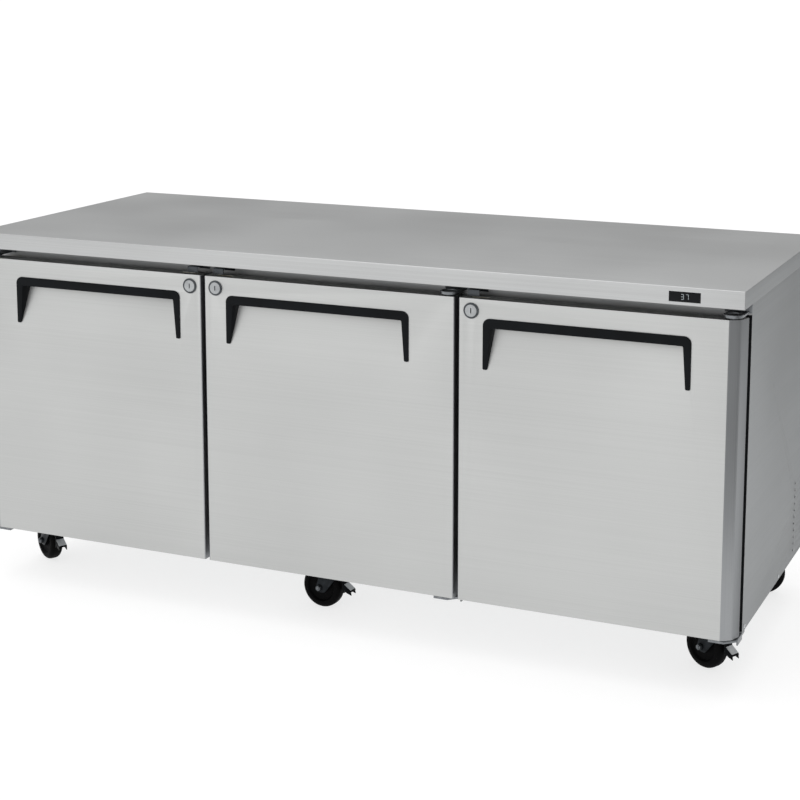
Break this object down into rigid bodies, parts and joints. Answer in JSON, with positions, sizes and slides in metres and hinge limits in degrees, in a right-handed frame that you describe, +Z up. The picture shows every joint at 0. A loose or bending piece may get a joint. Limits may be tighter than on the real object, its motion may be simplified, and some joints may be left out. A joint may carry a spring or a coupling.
{
  "type": "worktop refrigerator",
  "caption": "Low stainless worktop refrigerator with three hinged doors, recessed handles, locks, wire shelves, louvred machine bay and swivel casters.",
  "frame": {"origin": "on the floor under the middle of the worktop, where the bounding box's bottom centre is", "axes": "+X to the right of a person facing the doors, which face -Y; +Z up"},
  "size_m": [1.845, 0.762, 0.86],
  "materials": {
    "stainless_top": "brushed satin",
    "stainless_door": "brushed satin",
    "stainless_side": "brushed satin",
    "galvanised": "spangled zinc",
    "foam": "closed-cell foam",
    "liner_alloy": "stucco satin",
    "bracket_steel": "zinc plated",
    "abs_black": "moulded satin",
    "gasket_vinyl": "soft matte",
    "lock_ring": "blackened",
    "lock_face": "polished",
    "caster_zinc": "dark zinc",
    "wheel_rubber": "matte",
    "compressor_enamel": "satin",
    "coil_copper": "bare",
    "fan_alloy": "satin",
    "display_lens": "gloss",
    "wire_coating": "epoxy satin"
  },
  "bodies": {
    "cabinet": {"worktop": "stainless_top", "left_side_panel": "stainless_side", "right_side_panel": "stainless_side", "back_panel": "galvanised", "base_pan": "galvanised", "front_frame": "stainless_side", "cabinet_foam": "foam", "inner_liner": "liner_alloy", "hinge_brackets": "bracket_steel", "lock_strikes": "bracket_steel", "caster_plates": "caster_zinc", "compressor": "compressor_enamel", "condenser_coil": "coil_copper", "condenser_shroud": "galvanised", "evaporator_coil": "coil_copper", "evaporator_cover": "liner_alloy", "temperature_display": "display_lens", "shelf_standards": "bracket_steel", "shelf_clips": "bracket_steel", "left_shelf": "wire_coating", "centre_shelf": "wire_coating", "right_shelf": "wire_coating"},
    "condenser_fan": {"condenser_fan": "fan_alloy"},
    "evaporator_fan": {"evaporator_fan": "fan_alloy"},
    "left_door": {"left_door_skin": "stainless_door", "left_door_foam": "foam", "left_door_liner": "abs_black", "left_door_gasket": "gasket_vinyl", "left_door_handle": "abs_black", "left_door_lock_barrel": "lock_ring"},
    "left_door_lock": {"left_door_lock_plug": "lock_face"},
    "centre_door": {"centre_door_skin": "stainless_door", "centre_door_foam": "foam", "centre_door_liner": "abs_black", "centre_door_gasket": "gasket_vinyl", "centre_door_handle": "abs_black", "centre_door_lock_barrel": "lock_ring"},
    "centre_door_lock": {"centre_door_lock_plug": "lock_face"},
    "right_door": {"right_door_skin": "stainless_door", "right_door_foam": "foam", "right_door_liner": "abs_black", "right_door_gasket": "gasket_vinyl", "right_door_handle": "abs_black", "right_door_lock_barrel": "lock_ring"},
    "right_door_lock": {"right_door_lock_plug": "lock_face"},
    "front_left_caster": {"front_left_fork": "caster_zinc"},
    "front_left_wheel": {"front_left_wheel": "wheel_rubber"},
    "front_left_pedal": {"front_left_brake_pedal": "caster_zinc"},
    "front_centre_caster": {"front_centre_fork": "caster_zinc"},
    "front_centre_wheel": {"front_centre_wheel": "wheel_rubber"},
    "front_centre_pedal": {"front_centre_brake_pedal": "caster_zinc"},
    "front_right_caster": {"front_right_fork": "caster_zinc"},
    "front_right_wheel": {"front_right_wheel": "wheel_rubber"},
    "front_right_pedal": {"front_right_brake_pedal": "caster_zinc"},
    "rear_left_caster": {"rear_left_fork": "caster_zinc"},
    "rear_left_wheel": {"rear_left_wheel": "wheel_rubber"},
    "rear_centre_caster": {"rear_centre_fork": "caster_zinc"},
    "rear_centre_wheel": {"rear_centre_wheel": "wheel_rubber"},
    "rear_right_caster": {"rear_right_fork": "caster_zinc"},
    "rear_right_wheel": {"rear_right_wheel": "wheel_rubber"}
  },
  "joints": [
    {"name": "condenser_fan_spin", "type": "hinge", "parent": "cabinet", "child": "condenser_fan", "pos_m": [0.738, 0.262, 0.24], "axis": [1, 0, 0], "continuous": true},
    {"name": "evaporator_fan_spin", "type": "hinge", "parent": "cabinet", "child": "evaporator_fan", "pos_m": [-0.195, 0.268, 0.673], "axis": [0, -1, 0], "continuous": true},
    {"name": "left_door_hinge", "type": "hinge", "parent": "cabinet", "child": "left_door", "pos_m": [-0.893, -0.35, 0.4655], "axis": [0, 0, -1], "range_deg": [0, 110]},
    {"name": "left_door_lock_turn", "type": "hinge", "parent": "left_door", "child": "left_door_lock", "pos_m": [-0.341, -0.358, 0.772], "axis": [0, 1, 0], "range_deg": [0, 90]},
    {"name": "centre_door_hinge", "type": "hinge", "parent": "cabinet", "child": "centre_door", "pos_m": [0.285, -0.35, 0.4655], "axis": [0, 0, 1], "range_deg": [0, 110]},
    {"name": "centre_door_lock_turn", "type": "hinge", "parent": "centre_door", "child": "centre_door_lock", "pos_m": [-0.275, -0.358, 0.772], "axis": [0, -1, 0], "range_deg": [0, 90]},
    {"name": "right_door_hinge", "type": "hinge", "parent": "cabinet", "child": "right_door", "pos_m": [0.893, -0.35, 0.4655], "axis": [0, 0, 1], "range_deg": [0, 110]},
    {"name": "right_door_lock_turn", "type": "hinge", "parent": "right_door", "child": "right_door_lock", "pos_m": [0.341, -0.358, 0.772], "axis": [0, -1, 0], "range_deg": [0, 90]},
    {"name": "front_left_caster_swivel", "type": "hinge", "parent": "cabinet", "child": "front_left_caster", "pos_m": [-0.841, -0.208, 0.1145], "axis": [0, 0, 1], "continuous": true},
    {"name": "front_left_wheel_roll", "type": "hinge", "parent": "front_left_caster", "child": "front_left_wheel", "pos_m": [-0.87186, -0.18946, 0.05], "axis": [-0.515, -0.8572, 0], "continuous": true},
    {"name": "front_left_brake_press", "type": "hinge", "parent": "front_left_caster", "child": "front_left_pedal", "pos_m": [-0.82814, -0.21573, 0.098], "axis": [0.515, 0.8572, 0], "range_deg": [0, 6]},
    {"name": "front_centre_caster_swivel", "type": "hinge", "parent": "cabinet", "child": "front_centre_caster", "pos_m": [-0.054, -0.208, 0.1145], "axis": [0, 0, 1], "continuous": true},
    {"name": "front_centre_wheel_roll", "type": "hinge", "parent": "front_centre_caster", "child": "front_centre_wheel", "pos_m": [-0.08986, -0.20486, 0.05], "axis": [-0.0872, -0.9962, 0], "continuous": true},
    {"name": "front_centre_brake_press", "type": "hinge", "parent": "front_centre_caster", "child": "front_centre_pedal", "pos_m": [-0.03906, -0.20931, 0.098], "axis": [0.0872, 0.9962, 0], "range_deg": [0, 6]},
    {"name": "front_right_caster_swivel", "type": "hinge", "parent": "cabinet", "child": "front_right_caster", "pos_m": [0.852, -0.208, 0.1145], "axis": [0, 0, 1], "continuous": true},
    {"name": "front_right_wheel_roll", "type": "hinge", "parent": "front_right_caster", "child": "front_right_wheel", "pos_m": [0.81992, -0.19166, 0.05], "axis": [-0.454, -0.891, 0], "continuous": true},
    {"name": "front_right_brake_press", "type": "hinge", "parent": "front_right_caster", "child": "front_right_pedal", "pos_m": [0.86537, -0.21481, 0.098], "axis": [0.454, 0.891, 0], "range_deg": [0, 6]},
    {"name": "rear_left_caster_swivel", "type": "hinge", "parent": "cabinet", "child": "rear_left_caster", "pos_m": [-0.865, 0.316, 0.1145], "axis": [0, 0, 1], "continuous": true},
    {"name": "rear_left_wheel_roll", "type": "hinge", "parent": "rear_left_caster", "child": "rear_left_wheel", "pos_m": [-0.83117, 0.30369, 0.05], "axis": [0.342, 0.9397, 0], "continuous": true},
    {"name": "rear_centre_caster_swivel", "type": "hinge", "parent": "cabinet", "child": "rear_centre_caster", "pos_m": [0, 0.316, 0.1145], "axis": [0, 0, 1], "continuous": true},
    {"name": "rear_centre_wheel_roll", "type": "hinge", "parent": "rear_centre_caster", "child": "rear_centre_wheel", "pos_m": [-0.03383, 0.32831, 0.05], "axis": [-0.342, -0.9397, 0], "continuous": true},
    {"name": "rear_right_caster_swivel", "type": "hinge", "parent": "cabinet", "child": "rear_right_caster", "pos_m": [0.865, 0.316, 0.1145], "axis": [0, 0, 1], "continuous": true},
    {"name": "rear_right_wheel_roll", "type": "hinge", "parent": "rear_right_caster", "child": "rear_right_wheel", "pos_m": [0.83117, 0.30369, 0.05], "axis": [0.342, -0.9397, 0], "continuous": true}
  ]
}
